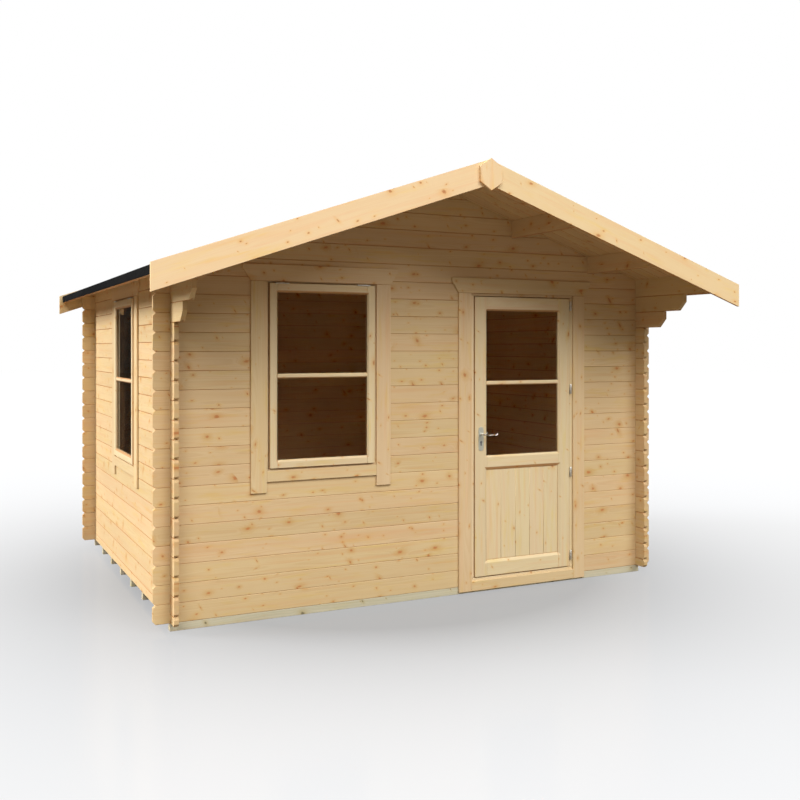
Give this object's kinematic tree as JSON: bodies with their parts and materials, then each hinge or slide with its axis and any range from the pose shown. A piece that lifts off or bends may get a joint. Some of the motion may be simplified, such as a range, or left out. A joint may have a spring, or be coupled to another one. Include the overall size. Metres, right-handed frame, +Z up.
{
  "type": "log cabin",
  "caption": "Garden log cabin with interlocking corners, a half-glazed door, top-hung windows and a felted gable roof that reaches forward as a canopy.",
  "frame": {"origin": "bottom centre of the whole cabin, on the ground under the bearers", "axes": "+X to the right along the front, +Y from the front to the back, +Z up; the front with the door looks along -Y"},
  "size_m": [4.0226, 3.692, 2.8012],
  "materials": {
    "log_timber": "planed spruce, untreated",
    "planed_timber": "planed spruce boards, untreated",
    "joinery_timber": "smooth joinery pine, untreated",
    "roof_timber": "planed roof boards, untreated",
    "treated_timber": "pressure-treated, pale green",
    "roofing_felt": "mineral granules on bitumen",
    "glass": "clear float glass",
    "zinc_steel": "zinc plated",
    "satin_metal": "satin nickel"
  },
  "bodies": {
    "cabin": {"bearers": "treated_timber", "floor_boards": "log_timber", "front_wall_lower": "log_timber", "front_wall_left": "log_timber", "front_wall_middle": "log_timber", "front_wall_right": "log_timber", "front_gable": "log_timber", "back_wall": "log_timber", "back_gable": "log_timber", "left_wall_lower": "log_timber", "left_wall_front": "log_timber", "left_wall_back": "log_timber", "right_wall": "log_timber", "wall_plates": "log_timber", "purlins": "planed_timber", "roof_boards_left": "roof_timber", "roof_boards_right": "roof_timber", "felt_left": "roofing_felt", "felt_right": "roofing_felt", "eaves_battens": "roof_timber", "front_bargeboards": "planed_timber", "rear_bargeboards": "planed_timber", "apex_plate": "planed_timber", "door_frame": "joinery_timber", "door_threshold": "joinery_timber", "door_trim": "planed_timber", "door_hinge_pins": "zinc_steel", "front_window_frame": "joinery_timber", "front_window_sash": "joinery_timber", "front_window_glass": "glass", "front_window_trim": "planed_timber", "front_window_hinges": "zinc_steel", "side_window_frame": "joinery_timber", "side_window_sash": "joinery_timber", "side_window_glass": "glass", "side_window_trim": "planed_timber", "side_window_hinges": "zinc_steel"},
    "door": {"door_stiles": "joinery_timber", "door_rails": "joinery_timber", "door_glazing_bar": "joinery_timber", "door_panel": "joinery_timber", "door_glass": "glass", "door_hinge_sleeves": "zinc_steel", "door_lock_plates": "satin_metal"},
    "lever": {"door_lever": "satin_metal"}
  },
  "joints": [
    {"name": "door_swing", "type": "hinge", "parent": "cabin", "child": "door", "pos_m": [1.116, -1.10985, 0.184], "axis": [0, 0, 1], "range_deg": [0, 110]},
    {"name": "lever_turn", "type": "hinge", "parent": "door", "child": "lever", "pos_m": [0.372, -1.08235, 1.076], "axis": [0, 1, 0], "range_deg": [0, 40], "stiffness_Nm_per_rad": 1.2, "springref_deg": -22.92}
  ]
}
